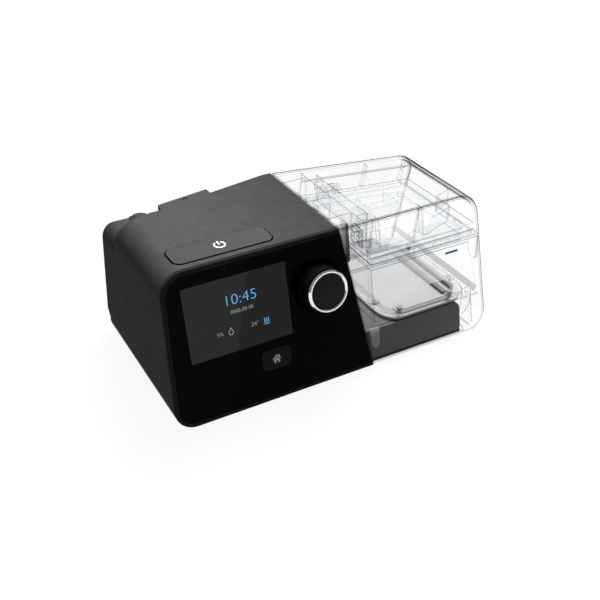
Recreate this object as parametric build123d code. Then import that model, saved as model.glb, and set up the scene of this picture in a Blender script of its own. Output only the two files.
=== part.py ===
from build123d import *
import math
import os

os.makedirs("parts", exist_ok=True)

# ---------------------------------------------------------------- dimensions
# Millimetres. While modelling, x runs to the right from the lower left front
# corner, y runs to the rear and z up from the underside of the casing. Every
# piece is moved to the part's own frame when it is written: origin on the
# floor under the middle of the machine.
WIDTH = 265.0          # across the base
DEPTH = 148.0          # front lower edge to the rear face of the rear step
BODY_H = 110.2         # casing, without feet
FOOT_H = 2.0
ORIGIN_Y = 73.215     # middle of the whole machine front to back, knob included
FRONT_LEAN = 24.23     # the front leans back by this much over BODY_H
SIDE_LEAN = 5.0        # each side wall leans in by this much over BODY_H
R_BL, R_TL, R_BR, R_TR = 15.0, 18.0, 17.0, 17.0   # corners seen from the front
JOIN_X0, JOIN_X1 = 159.0, 139.5   # black unit / tank boundary, bottom and top
JOIN_GAP = 0.2         # half the gap at that boundary
WALL = 2.5             # black casing wall
APEX_X = 135.0         # the rear is two flats meeting at a soft vertical ridge
REAR_BOTTOM = (138.2, 148.0, 138.0)   # y at x=0, ridge, x=WIDTH, at z=0
REAR_TOP = (103.1, 127.4, 102.8)      # the same at z=BODY_H
RIDGE_R = 40.0

PANEL_T = 6.8          # depth of the front panel
LIP_AT = 2.6           # the casing's lip ends this far behind the front plane
LIP_T = 1.6            # and is this thick
BEAD = 3.2             # width of the rounded rim round the glass
GLASS_T = 1.7
GLASS_SINK = 0.35      # glass below the rim

KNOB_X, KNOB_T = 119.0, 75.5       # knob centre on the front plane
KNOB_R = 15.5
KNOB_H = 15.0          # top of the ring above the front plane
WELL_R = 20.0
KNOB_PRESS = 1.0

LCD = (18.3, 46.3, 95.1, 100.5)    # display, on the front plane
HOME = (68.9, 23.7, 91.7, 39.6)
POWER = (20.6, 32.5, 93.6, 54.1)   # on top, x and y
POWER_R = 6.0
POWER_UP = 0.55         # proud of the top

STEP_TOP = 91.0        # top of the rear step
OUTLET_X, OUTLET_Z = 35.3, 79.0
OUTLET_R = 13.2        # ribbed collar
OUTLET_BORE = 11.0     # 22 mm socket
OUTLET_END = 147.0

SEAM_Z = 76.0          # lid above, tank below
CLEAR_T = 2.4          # clear lid wall
TANK_T = 3.0           # clear tank wall
CHAMBER_X = 162.0      # left wall of the water chamber
FLOOR_Z0, FLOOR_Z1 = 28.0, 31.0
SCOOP_DEPTH = 1.2      # thumb scoop in the tank's right wall
HINGE_Y, HINGE_Z = 136.0, 78.5
HINGE_X = (161.0, 199.0)
PIN_R = 1.5

BASE_TOP = 25.0        # raised heater block
BASE_X = 243.0

LEN = math.hypot(FRONT_LEAN, BODY_H)
SY, SZ = FRONT_LEAN / LEN, BODY_H / LEN      # up the front plane
NY, NZ = -SZ, SY                             # out of the front plane


def jx(z):
    return JOIN_X0 + (JOIN_X1 - JOIN_X0) * z / BODY_H


def loop(pts, radii, to3):
    """Closed polygon with rounded corners, mapped into space."""
    n = len(pts)
    ends = []
    for i in range(n):
        p, a, b = Vector(*pts[i]), Vector(*pts[i - 1]), Vector(*pts[(i + 1) % n])
        r = radii[i] if isinstance(radii, (list, tuple)) else radii
        da, db = (a - p).normalized(), (b - p).normalized()
        half = math.radians(da.get_angle(db)) / 2
        if r <= 1e-6 or half > math.pi / 2 - 1e-4:
            ends.append((p, None, p))
            continue
        t = r / math.tan(half)
        c = p + (da + db).normalized() * (r / math.sin(half))
        ends.append((p + da * t, c - (c - p).normalized() * r, p + db * t))
    edges = []
    for i in range(n):
        s, m, e = ends[i]
        if m is not None:
            edges.append(Edge.make_three_point_arc(to3(s), to3(m), to3(e)))
        nxt = ends[(i + 1) % n][0]
        if (nxt - e).length > 1e-5:
            edges.append(Edge.make_line(to3(e), to3(nxt)))
    return Wire(edges)


def prism_y(pts, radii, y0, y1):
    w = loop(pts, radii, lambda v: Vector(v.X, y0, v.Y))
    return Solid.extrude(Face(w), Vector(0, y1 - y0, 0))


def prism_x(pts, radii, x0, x1):
    w = loop(pts, radii, lambda v: Vector(x0, v.X, v.Y))
    return Solid.extrude(Face(w), Vector(x1 - x0, 0, 0))


def prism_z(pts, radii, z0, z1):
    w = loop(pts, radii, lambda v: Vector(v.X, v.Y, z0))
    return Solid.extrude(Face(w), Vector(0, 0, z1 - z0))


def fp(x, t, off=0.0):
    """Point on the front plane: x across, t up the slope, off outwards."""
    return Vector(x, t * SY + off * NY, t * SZ + off * NZ)


def slab(pts, radii, o0, o1):
    w = loop(pts, radii, lambda v: fp(v.X, v.Y, o0))
    return Solid.extrude(Face(w), Vector(0, NY * (o1 - o0), NZ * (o1 - o0)))


def rect(x0, y0, x1, y1):
    return [(x0, y0), (x1, y0), (x1, y1), (x0, y1)]


def box(x0, y0, z0, x1, y1, z1):
    return prism_z(rect(x0, y0, x1, y1), 0, z0, z1)


def fcyl(x, t, r, o0, o1):
    """Cylinder square to the front plane."""
    pl = Plane(origin=fp(x, t, o0), x_dir=(1, 0, 0), z_dir=(0, NY, NZ))
    return Solid.make_cylinder(r, o1 - o0, pl)


def fcone(x, t, r0, r1, o0, o1):
    pl = Plane(origin=fp(x, t, o0), x_dir=(1, 0, 0), z_dir=(0, NY, NZ))
    return Solid.make_cone(r0, r1, o1 - o0, pl)


def cyl(x, y, z, r, h, d=(0, 0, 1)):
    xd = (1, 0, 0) if abs(d[0]) < 0.5 else (0, 1, 0)
    return Solid.make_cylinder(r, h, Plane(origin=(x, y, z), x_dir=xd, z_dir=d))


def inset(pts, d):
    """Counter-clockwise polygon moved inwards, d one number or one per edge."""
    n = len(pts)
    ds = d if isinstance(d, (list, tuple)) else [d] * n
    lines = []
    for i in range(n):
        (x0, y0), (x1, y1) = pts[i], pts[(i + 1) % n]
        ln = math.hypot(x1 - x0, y1 - y0)
        ux, uy = (x1 - x0) / ln, (y1 - y0) / ln
        lines.append((x0 - uy * ds[i], y0 + ux * ds[i], ux, uy))
    out = []
    for i in range(n):
        ax, ay, au, av = lines[i - 1]
        bx, by, bu, bv = lines[i]
        den = au * bv - av * bu
        s = ((bx - ax) * bv - (by - ay) * bu) / den
        out.append((ax + au * s, ay + av * s))
    return out


def rear_y(x, z, d=0.0):
    k = z / BODY_H
    left = REAR_BOTTOM[0] + (REAR_TOP[0] - REAR_BOTTOM[0]) * k
    mid = REAR_BOTTOM[1] + (REAR_TOP[1] - REAR_BOTTOM[1]) * k
    right = REAR_BOTTOM[2] + (REAR_TOP[2] - REAR_BOTTOM[2]) * k
    if x <= APEX_X:
        return left + (mid - left) * x / APEX_X - d
    return mid + (right - mid) * (x - APEX_X) / (WIDTH - APEX_X) - d


def plan(z0, z1, front=0.0, rear=0.0, x0=-6.0, x1=271.0):
    """Everything between the leaning front plane and the two rear flats.
    front and rear are how far each is set in, square to the front plane."""
    wires = []
    for z in (z0, z1):
        yf = FRONT_LEAN * z / BODY_H + front / SZ
        pts = [(x0, yf), (x1, yf), (x1, rear_y(x1, z, rear * 1.03)),
               (APEX_X, rear_y(APEX_X, z, rear * 1.03)), (x0, rear_y(x0, z, rear * 1.03))]
        wires.append(loop(pts, [0, 0, 0, RIDGE_R, 0], lambda v, z=z: Vector(v.X, v.Y, z)))
    return Solid.make_loft(wires, True)


LEFT = [(0, 0), (JOIN_X0 - JOIN_GAP, 0), (JOIN_X1 - JOIN_GAP, BODY_H), (SIDE_LEAN, BODY_H)]
LEFT_R = [R_BL, 1.2, 1.2, R_TL]
RIGHT = [(JOIN_X0 + JOIN_GAP, 0), (WIDTH, 0), (WIDTH - SIDE_LEAN, BODY_H), (JOIN_X1 + JOIN_GAP, BODY_H)]
RIGHT_R = [1.0, R_BR, R_TR, 1.0]


def shrink(radii, d):
    return [max(r - d, 0.6) for r in radii]


def save(name, *shapes):
    solids = []
    for s in shapes:
        solids += list(s.solids())
    moved = [Pos(-WIDTH / 2, -ORIGIN_Y, FOOT_H) * s for s in solids]
    out = moved[0] if len(moved) == 1 else Compound(children=moved)
    export_step(out, f"parts/{name}.step")


# ------------------------------------------------------- front panel outline
# The same outline measured up the slope of the front plane.
ft = LEN / BODY_H
PANEL = [(0, 0), (JOIN_X0 - JOIN_GAP, 0), (JOIN_X1 - JOIN_GAP, LEN), (SIDE_LEAN, LEN)]
PANEL_R = [R_BL, 1.2, 1.2, R_TL]

# ------------------------------------------------------------- lower housing
lo_out = prism_y(LEFT, LEFT_R, -5, 155) & plan(-1, 112, front=LIP_AT + 0.25)
lip_in = prism_y(inset(LEFT, LIP_T), shrink(LEFT_R, LIP_T), -6, 156) - plan(-3, 114, front=PANEL_T + 0.25)
lo_out = lo_out - lip_in
lo_in = prism_y(inset(LEFT, WALL), shrink(LEFT_R, WALL), -6, 156) & plan(-1, 112, front=PANEL_T + WALL, rear=WALL)
tray = (lo_out & box(-5, -5, -1, 170, 160, 6.0)) - (lo_in & box(-5, -5, WALL, 170, 160, 7))
tongue = box(158.9, -5, 0, BASE_X - 0.4, 160, WALL) & plan(-1, 112, front=TANK_T + 1.4, rear=TANK_T + 2.5)
neck = box(156, -5, 0, 159.4, 160, WALL) & plan(-1, 112, front=PANEL_T + 0.25, rear=TANK_T + 2.5)
lower = tray + neck + tongue
# screw posts that carry the upper housing, and cooling slots in the floor
POSTS = [(18.0, 34.0), (18.0, 122.0), (146.0, 60.0), (132.0, 130.0)]
for px, py in POSTS:
    lower = lower + cyl(px, py, WALL - 0.5, 3.6, 12.0)
    lower = lower - cyl(px, py, -1, 1.3, 17) - cyl(px, py, -1, 2.8, 2.8)
for i in range(9):
    lower = lower - box(104 + 3.5 * i, 60, -1, 106 + 3.5 * i, 84, WALL + 1)
save("lower_housing", lower)

# ------------------------------------------------------------- upper housing
up_out = lo_out & box(-6, -5, 6.0, 170, 160, 115)
eave = prism_z([(42.0, rear_y(42, BODY_H) - 6), (84.0, rear_y(84, BODY_H) - 6), (84.0, 125.2), (42.0, 118.2)],
               [0, 0, 1.6, 1.6], 106.8, BODY_H)
eave = eave - up_out
upper = up_out + eave
upper = upper - (lo_in & box(-6, -5, 5, 170, 160, 113))
# the front is open behind the panel
upper = upper - slab(inset(PANEL, [WALL + 2, WALL + 1.5, WALL + 2, WALL + 2]), [R_BL - 4, 1.0, 1.0, R_TL - 4], -PANEL_T - 4, -PANEL_T + 1)
# power button opening
px0, py0, px1, py1 = POWER
upper = upper - prism_z(rect(px0 - 0.6, py0 - 0.6, px1 + 0.6, py1 + 0.6), POWER_R + 0.6, 104, 112)
# narrow slot in the eave for the filter cover's catch
upper = upper - box(61.0, 117.4, 106, 66.0, 118.7, 111)
# filter intake opening in the rear wall, under the eave
upper = upper - prism_y(rect(47, 93, 79, 104), 2.0, 95, 135)
# round opening for the outlet spigot
upper = upper - cyl(OUTLET_X, 100, OUTLET_Z, 10.1, 40, (0, 1, 0))
# tall opening in the slanted wall where the air passes to the tank
upper = upper - box(130, 37.4, 77, 155, 42.4, 103)
# and the one where it comes back
upper = upper - box(132, 94, 75, 152, 104, 89)
# power inlet and memory card openings that line up with the rear cover
upper = upper - box(93.5, 118, 23.5, 106.5, 155, 36.5) - box(57, 112, 57, 88, 155, 66)
# bosses behind the top that carry the upper ends of the housing screws
for bx in (31.0, 79.0):
    upper = upper + box(bx, 55.5, 97.6, bx + 4, 59.5, 108.5)
for bx, by in POSTS:
    upper = upper + ((cyl(bx, by, 15.0, 3.6, 95.0) - cyl(bx, by, 14.5, 1.2, 12)) & lo_in)
save("upper_housing", upper)

# ---------------------------------------------------------------- rear cover
STEP_X1 = 114.0
st = [(3.3 - 0.65, 0), (STEP_X1 + 1, 0), (STEP_X1 - 2, STEP_TOP), (3.3 + 4.2, STEP_TOP)]
st_r = [6.0, 6.0, 8.0, 13.5]
step_out = prism_y(st, st_r, 60, DEPTH)
side = [(60, 8.0), (140.0, 8.0), (DEPTH, 16.0), (DEPTH, STEP_TOP), (60, STEP_TOP)]
step_out = step_out & prism_x(side, [0, 2.0, 3.0, 4.0, 0], -10, 130)
main_cut = prism_y(inset(LEFT, -6), 0, -5, 165) & plan(-3, 114, front=-6, rear=-0.02)
step_in = prism_y(inset(st, 2.2), shrink(st_r, 2.2), 60, DEPTH + 1)
side_in = [(60, 10.2), (139.1, 10.2), (DEPTH - 2.2, 16.9), (DEPTH - 2.2, STEP_TOP - 2.2), (60, STEP_TOP - 2.2)]
step_in = step_in & prism_x(side_in, [0, 1.2, 1.5, 2.2, 0], -10, 130)
cradle = cyl(OUTLET_X, 60, OUTLET_Z, OUTLET_R + 1.3, 100, (0, 1, 0))
cradle_wall = cyl(OUTLET_X, 60, OUTLET_Z, OUTLET_R + 3.3, 100, (0, 1, 0)) & step_out
rear = (step_out - step_in) + cradle_wall
rear = rear - cradle - main_cut
# rear openings: power inlet (round), memory card (slot), and vent slots
rear = rear - cyl(100, 130, 30.0, 4.2, 30, (0, 1, 0))
rear = rear - prism_y(rect(59.9, 60.2, 84.7, 63.1), 0.5, 130, 155)
for i in range(7):
    rear = rear - prism_y(rect(16 + 6.4 * i, 24, 19 + 6.4 * i, 46), 1.4, 138, 155)
save("rear_cover", rear)


# --------------------------------------------------------------- front panel
lx0, lt0, lx1, lt1 = LCD
hx0, ht0, hx1, ht1 = HOME
gl = inset(PANEL, [BEAD, 0.9, BEAD, BEAD])
gl_r = [R_BL - BEAD, 1.0, 1.0, R_TL - BEAD]
bez = (prism_y(LEFT, [R_BL, 0, 0, R_TL], -5, 60) & plan(-1, 112)) - plan(-3, 114, front=LIP_AT)
back = prism_y(inset(LEFT, LIP_T + 0.15), shrink([R_BL, 1.2, 1.2, R_TL], LIP_T + 0.15), -5, 60) & plan(-1, 112, front=1.5)
bez = bez + (back - plan(-3, 114, front=PANEL_T))
on_front = [e for e in bez.edges() if all(abs(v.Y * NY + v.Z * NZ) < 1e-3 for v in e.vertices())]
bez = bez.fillet(1.0, [e for e in on_front if e.center().X < 138])
# fine groove that runs round the rim
gr = slab(inset(PANEL, [1.5, 0.5, 1.5, 1.5]), shrink(PANEL_R, 1.5), -0.3, 1) - slab(inset(PANEL, [1.85, 0.85, 1.85, 1.85]), shrink(PANEL_R, 1.85), -1, 2)
bez = bez - gr
bez = bez - slab(inset(gl, -0.12), [r + 0.1 for r in gl_r], -(GLASS_SINK + GLASS_T + 0.15), 2.0)
# deep window for the display, and a shallow tray behind the rest of the glass
bez = bez - slab(rect(lx0 - 2.5, lt0 - 2.5, lx1 + 2.5, lt1 + 2.5), 2.0, -PANEL_T - 1, 0)
bez = bez - slab(rect(hx0 - 0.4, ht0 - 0.4, hx1 + 0.4, ht1 + 0.4), 3.9, -PANEL_T - 1, 0)
bez = bez - fcyl(KNOB_X, KNOB_T, 6.0, -PANEL_T - 1, 1)
bez = bez - fcyl(KNOB_X, KNOB_T, WELL_R + 0.1, -GLASS_SINK - GLASS_T - 1.6, 1)
bez = bez - fcyl(50.8, 106.0, 1.6, -PANEL_T - 1, 1)
save("front_bezel", bez)

glass = slab(gl, gl_r, -GLASS_SINK - GLASS_T, -GLASS_SINK)
glass = glass - fcyl(KNOB_X, KNOB_T, WELL_R, -8, 2)
glass = glass - slab(rect(hx0 - 0.35, ht0 - 0.35, hx1 + 0.35, ht1 + 0.35), 3.85, -8, 2)
glass = glass - fcyl(50.8, 106.0, 1.15, -8, 2)
save("front_glass", glass)

save("light_sensor", fcyl(50.8, 106.0, 1.05, -GLASS_SINK - GLASS_T - 1.2, -GLASS_SINK - 0.05))

lcd = slab(rect(lx0 - 1.5, lt0 - 1.5, lx1 + 1.5, lt1 + 1.5), 1.0, -6.6, -GLASS_SINK - GLASS_T - 0.05)
save("lcd_module", lcd)

# dished ring round the knob, under the glass opening
well = fcyl(KNOB_X, KNOB_T, WELL_R - 0.05, -GLASS_SINK - GLASS_T - 1.5, -GLASS_SINK - 0.1)
well = well - fcone(KNOB_X, KNOB_T, 17.2, WELL_R - 0.7, -GLASS_SINK - GLASS_T - 0.3, -GLASS_SINK + 0.05)
well = well - fcyl(KNOB_X, KNOB_T, 6.0, -8, 1)
save("knob_well", well)

# boards and switches behind the panel
pcb = slab([(23, 18), (130, 18), (126, 104), (23, 104)], 1.0, -13.6, -12.0)
pcb = pcb - fcyl(KNOB_X, KNOB_T, 4.6, -20, 0)
save("front_pcb", pcb)
tact = []
for x, t in (((hx0 + hx1) / 2, (ht0 + ht1) / 2),):
    tact.append(slab(rect(x - 3, t - 3, x + 3, t + 3), 0.3, -11.95, -10.2) + fcyl(x, t, 1.7, -10.3, -9.35))
tact.append(box(54.1, 40.3, 97.6, 60.1, 46.3, 100.6) + cyl(57.1, 43.3, 100.5, 1.7, 1.0))
save("tact_switches", *tact)
save("power_switch_board", box(30, 38.5, 96.0, 84, 60.0, 97.55))
enc = fcyl(KNOB_X, KNOB_T, 7.0, -11.95, -9.6) - fcyl(KNOB_X, KNOB_T, 3.06, -20, 0)
save("encoder_body", enc)
screws = []
for x, t in ((27, 22), (126, 22), (27, 100.5), (122.5, 100.5)):
    screws.append(fcyl(x, t, 2.2, -15.4, -13.65))
save("pcb_screws", *screws)

# knob: the shaft presses in, the rest turns on it
stem = fcyl(KNOB_X, KNOB_T, 3.0, -13.0, 8.0) + fcyl(KNOB_X, KNOB_T, 4.2, -8.2, -7.2)
save("encoder_plunger", stem)
skirt = fcone(KNOB_X, KNOB_T, KNOB_R + 0.6, KNOB_R + 0.1, -1.1, 11.2)
skirt = skirt + fcyl(KNOB_X, KNOB_T, KNOB_R - 2.4, 11.0, 12.6)
skirt = skirt - fcyl(KNOB_X, KNOB_T, 13.4, -2, 9.4) - fcyl(KNOB_X, KNOB_T, 3.06, -5, 8.6)
hub = fcyl(KNOB_X, KNOB_T, 5.2, 0.6, 9.6) - fcyl(KNOB_X, KNOB_T, 3.06, -5, 8.6)
for k in range(6):
    a = math.radians(60 * k)
    ux, ut = math.cos(a), math.sin(a)
    hub = hub + slab([(KNOB_X + 4.9 * ux + 0.5 * ut, KNOB_T + 4.9 * ut - 0.5 * ux),
                      (KNOB_X + 13.9 * ux + 0.5 * ut, KNOB_T + 13.9 * ut - 0.5 * ux),
                      (KNOB_X + 13.9 * ux - 0.5 * ut, KNOB_T + 13.9 * ut + 0.5 * ux),
                      (KNOB_X + 4.9 * ux - 0.5 * ut, KNOB_T + 4.9 * ut + 0.5 * ux)], 0, 4.0, 9.6)
skirt = skirt + hub
save("knob_skirt", skirt)
ring = fcyl(KNOB_X, KNOB_T, KNOB_R, 11.2, 13.6)
ring = ring + fcone(KNOB_X, KNOB_T, KNOB_R, KNOB_R - 0.9, 13.6, KNOB_H)
ring = ring - fcyl(KNOB_X, KNOB_T, KNOB_R - 2.4, 11.0, 16) - fcyl(KNOB_X, KNOB_T, KNOB_R - 2.1, 12.6, 13.6)
ring = ring - fcone(KNOB_X, KNOB_T, KNOB_R - 3.0, KNOB_R - 1.7, 13.5, KNOB_H + 0.05)
save("knob_ring", ring)
CAP_R = KNOB_R - 2.5
dome_r = (CAP_R ** 2 + 0.95 ** 2) / (2 * 0.95)
ball = Solid.make_sphere(dome_r, Plane(origin=fp(KNOB_X, KNOB_T, 12.6 + 1.85 - dome_r), x_dir=(1, 0, 0), z_dir=(0, NY, NZ)))
cap = fcyl(KNOB_X, KNOB_T, CAP_R, 12.6, 16.0) & ball
save("knob_cap", cap)

# home button: cap in the glass, flange and stem behind it
home = slab(rect(hx0, ht0, hx1, ht1), 3.5, -5.4, 0.0)
home = home + slab(rect(hx0 - 1.4, ht0 - 1.4, hx1 + 1.4, ht1 + 1.4), 4.0, -PANEL_T - 1.6, -PANEL_T - 0.6)
home = home + slab(rect(hx0 + 2, ht0 + 2, hx1 - 2, ht1 - 2), 2.0, -PANEL_T - 0.7, -5.0)
home = home.fillet(0.35, [e for e in home.edges() if all(abs(v.Y * NY + v.Z * NZ) < 1e-3 for v in e.vertices())])
save("home_button", home)

# power button: shallow lid with a skirt that hangs below the casing top
pb = prism_z(rect(px0, py0, px1, py1), POWER_R, BODY_H - 3.4, BODY_H + POWER_UP)
pb = pb.fillet(0.3, [e for e in pb.edges() if all(v.Z > BODY_H + POWER_UP - 0.05 for v in e.vertices())])
pb = pb - prism_z(rect(px0 + 1.4, py0 + 1.4, px1 - 1.4, py1 - 1.4), POWER_R - 1.4, BODY_H - 3.6, BODY_H - 1.5)
pb = pb + prism_z(rect(px0 + 4, py0 + 3.2, px1 - 4, py1 - 3.2), 3, BODY_H - 2.7, BODY_H - 1.4)
pb = pb + cyl(57.1, 43.3, 102.6, 3.0, 6.0)
for sx in (px0 - 1.0, px1 - 3.0):
    pb = pb + box(sx, 39, BODY_H - 4.4, sx + 4.0, 47, BODY_H - 3.0)
save("power_button", pb)


# ------------------------------------------------------------------- blower
BX, BY = 78.0, 86.0
BR = 34.0


def volute(z0, z1, grow):
    return cyl(BX, BY, z0, BR - grow, z1 - z0) + box(BX, BY - BR + grow, z0, 115.8 if grow == 0 else 117, BY - BR + 18 - grow, z1)


blow_lo = volute(18, 34, 0) - volute(20, 35, 2.0) - cyl(BX, BY, 10, 4.0, 20)
blow_up = volute(34, 50, 0) - volute(33, 48, 2.0) - cyl(BX, BY, 40, 13.0, 20)
save("blower_lower", blow_lo)
save("blower_upper", blow_up)
motor = cyl(BX, BY, 4.5, 15.0, 13.5) - cyl(BX, BY, 4.0, 1.55, 16)
save("blower_motor", motor)
rubber = []
for k in range(3):
    a = math.radians(90 + 120 * k)
    rubber.append(cyl(BX + 26 * math.cos(a), BY + 26 * math.sin(a), WALL, 4.0, 15.5) -
                  cyl(BX + 26 * math.cos(a), BY + 26 * math.sin(a), WALL - 1, 1.6, 20))
save("blower_mounts", *rubber)
save("rotor_shaft", cyl(BX, BY, 6.0, 1.5, 34.0))
imp = cyl(BX, BY, 24.0, 6.0, 15.0) + cyl(BX, BY, 24.0, 28.0, 1.8)
for k in range(9):
    a = math.radians(40 * k)
    b = a + math.radians(28)
    p0 = (BX + 5.5 * math.cos(a), BY + 5.5 * math.sin(a))
    p1 = (BX + 27.4 * math.cos(b), BY + 27.4 * math.sin(b))
    ln = math.hypot(p1[0] - p0[0], p1[1] - p0[1])
    nx, ny = -(p1[1] - p0[1]) / ln * 0.5, (p1[0] - p0[0]) / ln * 0.5
    imp = imp + prism_z([(p0[0] - nx, p0[1] - ny), (p1[0] - nx, p1[1] - ny), (p1[0] + nx, p1[1] + ny), (p0[0] + nx, p0[1] + ny)][::-1], 0, 25.5, 38.0)
imp = imp - cyl(BX, BY, 20, 1.5, 30)
save("impeller", imp)

# duct from the blower up to the tank
pl_out = [(116.0, 43.0), (131.0, 43.0), (131.0, 37.0), (137.0, 37.0), (137.0, 52.0), (131.0, 72.0), (116.0, 72.0)]
pl_in = [(117.6, 44.6), (132.4, 44.6), (132.4, 38.6), (135.4, 38.6), (135.4, 51.6), (129.8, 70.4), (117.6, 70.4)]
duct = prism_z(pl_out, 0, 18.0, 103.5) - prism_z(pl_in, 0, 19.6, 101.9)
duct = duct - box(110, BY - BR + 2.2, 20.4, 120, BY - BR + 15.8, 47.6)
duct = duct - box(133, 37.8, 78, 140, 42.2, 101.5)
save("blower_duct", duct)
# duct from the tank back to the outlet
od = box(21.5, 91.5, 70.5, 138.6, 105.5, 91.0) - box(23, 93, 72, 137.1, 104, 89.5)
od = od - box(130, 94.5, 75.5, 145, 103.5, 88.5) - cyl(OUTLET_X, 100, OUTLET_Z, 8.0, 10, (0, 1, 0))
save("outlet_duct", od)
COL0 = 124.2           # front end of the swivelling collar
sp = cyl(OUTLET_X, 105.5, OUTLET_Z, 10.0, COL0 + 6.0 - 105.5, (0, 1, 0)) + (cyl(OUTLET_X, 105.5, OUTLET_Z, 13.0, 2.0, (0, 1, 0)) & box(20, 100, 60, 60, 120, 91.0))
sp = sp - cyl(OUTLET_X, 100, OUTLET_Z, 8.4, 40, (0, 1, 0))
save("outlet_spigot", sp)
col = cyl(OUTLET_X, COL0, OUTLET_Z, 11.9, OUTLET_END - COL0, (0, 1, 0)) + cyl(OUTLET_X, 134.5, OUTLET_Z, OUTLET_R, OUTLET_END - 134.5, (0, 1, 0))
col = col + cyl(OUTLET_X, COL0, OUTLET_Z, OUTLET_R, 2.0, (0, 1, 0))
col = col - cyl(OUTLET_X, COL0 - 1, OUTLET_Z, 10.06, 7.6, (0, 1, 0)) - cyl(OUTLET_X, COL0 - 1, OUTLET_Z, 9.0, 30, (0, 1, 0))
col = col - cyl(OUTLET_X, OUTLET_END - 16.0, OUTLET_Z, OUTLET_BORE, 20, (0, 1, 0))
for k in range(24):
    # two groups of grip grooves, smooth at the top and bottom
    a = math.radians(108 + 11 * (k % 8) + (180 if k > 7 else 0))
    if k > 15:
        continue
    cx, cz = OUTLET_X + (OUTLET_R + 0.1) * math.cos(a), OUTLET_Z + (OUTLET_R + 0.1) * math.sin(a)
    col = col - cyl(cx, 136.0, cz, 0.65, 14, (0, 1, 0))
save("outlet_collar", col)

# seals that stand off the slanted wall towards the tank lid
LIP = [(151.6, 105.4), (153.6, 72.4), (157.2, 72.4), (154.2, 105.4)]
block = prism_y([(120, 72.4), (LIP[1][0], 72.4), (LIP[0][0], 106.4), (120, 106.4)], [0, 1.5, 1.5, 0], 35.4, 43.6)
block = block - prism_y(inset(LEFT, -0.02), 0, 0, 100)
block = block - box(130, 38.2, 77.5, 170, 41.6, 102.0)
save("port_seal", block)
lip = prism_y(LIP, [0.4, 0.4, 1.2, 1.2], 35.8, 43.2) - prism_y([(120, 60), (LIP[1][0] + 0.02, 72.0), (LIP[0][0] + 0.02, 107.0), (120, 120)], 0, 30, 50)
lip = lip - box(130, 38.2, 77.5, 170, 41.6, 102.0)
save("port_lip", lip)
rs = prism_x(rect(92.6, 73.2, 105.2, 90.8), 2.5, 130, 160.4) - prism_y(inset(LEFT, -0.02), 0, 0, 150)
rs = rs - prism_x(rect(94.6, 75.2, 103.2, 88.8), 1.5, 130, 170)
save("return_seal", rs)

# ----------------------------------------------------- boards, inlet, filter
save("main_pcb", box(28, 34.0, 5.5, 29.6, 110, 64.0))
jack = box(94.5, 124.0, 24.5, 105.5, 139.5, 35.5) + cyl(100, 139.0, 30, 4.0, 8.2, (0, 1, 0))
jack = jack - cyl(100, 136.5, 30, 2.75, 20, (0, 1, 0)) + cyl(100, 136.0, 30, 1.05, 10.0, (0, 1, 0))
save("power_inlet", jack)
sock = box(58.4, 110.5, 58.6, 86.2, 134.0, 65.0) - box(59.9, 112.5, 60.2, 84.7, 140, 63.1)
save("card_socket", sock)
card = prism_z([(60.3, 115.4), (84.3, 115.4), (84.3, 147.4), (64.3, 147.4), (60.3, 143.4)], 0.6, 60.6, 62.7)
save("memory_card", card)
ff = box(45.2, 101.0, 91.6, 80.8, 110.8, 105.6) - box(47.0, 102.8, 93.2, 79.0, 112, 104.0)
for i in range(5):
    ff = ff - box(49.0 + 6.2 * i, 100, 94.6, 53.2 + 6.2 * i, 104, 102.6)
save("filter_frame", ff & lo_in)
save("air_filter", box(47.4, 103.2, 93.6, 78.6, 110.4, 103.6) & lo_in)
fc = prism_z([(43.0, 105), (83.0, 105), (83.0, 125.7), (43.0, 118.9)], [0, 0, 1.4, 1.4], 91.5, 106.2)
fc = fc - (prism_y(inset(LEFT, -6), 0, -5, 165) & plan(-3, 114, front=-6, rear=-0.55))
for i in range(4):
    fc = fc - prism_y(rect(48.5, 93.4 + 3.1 * i, 77.5, 94.9 + 3.1 * i), 0.7, 100, 130)
save("filter_cover", fc)

# -------------------------------------------------------------- heater block
hb_pts = [(JOIN_X0 + 0.35, WALL), (BASE_X, WALL), (BASE_X, BASE_TOP), (jx(BASE_TOP) + 0.6, BASE_TOP)]
hb = prism_y(hb_pts, [0, 2.5, 5.0, 0.6], 0, 160) & plan(-1, 112, front=TANK_T + 1.3, rear=TANK_T + 2.2)
hb_in = prism_y(inset(hb_pts, [0, 2.2, 2.2, 2.2]), [0, 0.6, 3.0, 0.6], 0, 160) & plan(-1, 112, front=TANK_T + 3.5, rear=TANK_T + 4.4)
hb = hb - hb_in
HP = (186.0, 24.0, 232.0, 100.0)
hb = hb - prism_z(rect(HP[0] - 0.5, HP[1] - 0.5, HP[2] + 0.5, HP[3] + 0.5), 8.5, 20, 30)
save("heater_base", hb)
hp = prism_z(rect(*HP), 8.0, 21.4, 25.8) + prism_z(rect(HP[0] - 2.5, HP[1] - 2.5, HP[2] + 2.5, HP[3] + 2.5), 9.0, 20.6, 22.2)
save("heater_plate", hp)
save("heater_element", prism_z(rect(HP[0] + 6, HP[1] + 6, HP[2] - 6, HP[3] - 6), 3.0, 19.4, 20.6))
springs = []
for y0 in (38.0, 78.0):
    arc = [(192, 2.5), (198, 2.5), (203, 15.6), (215, 15.6), (220, 2.5), (226, 2.5), (226, 3.3), (220.6, 3.3), (215.6, 16.6), (202.4, 16.6), (197.4, 3.3), (192, 3.3)]
    springs.append(prism_y(arc, 0, y0, y0 + 8))
save("heater_springs", *springs)

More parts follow.
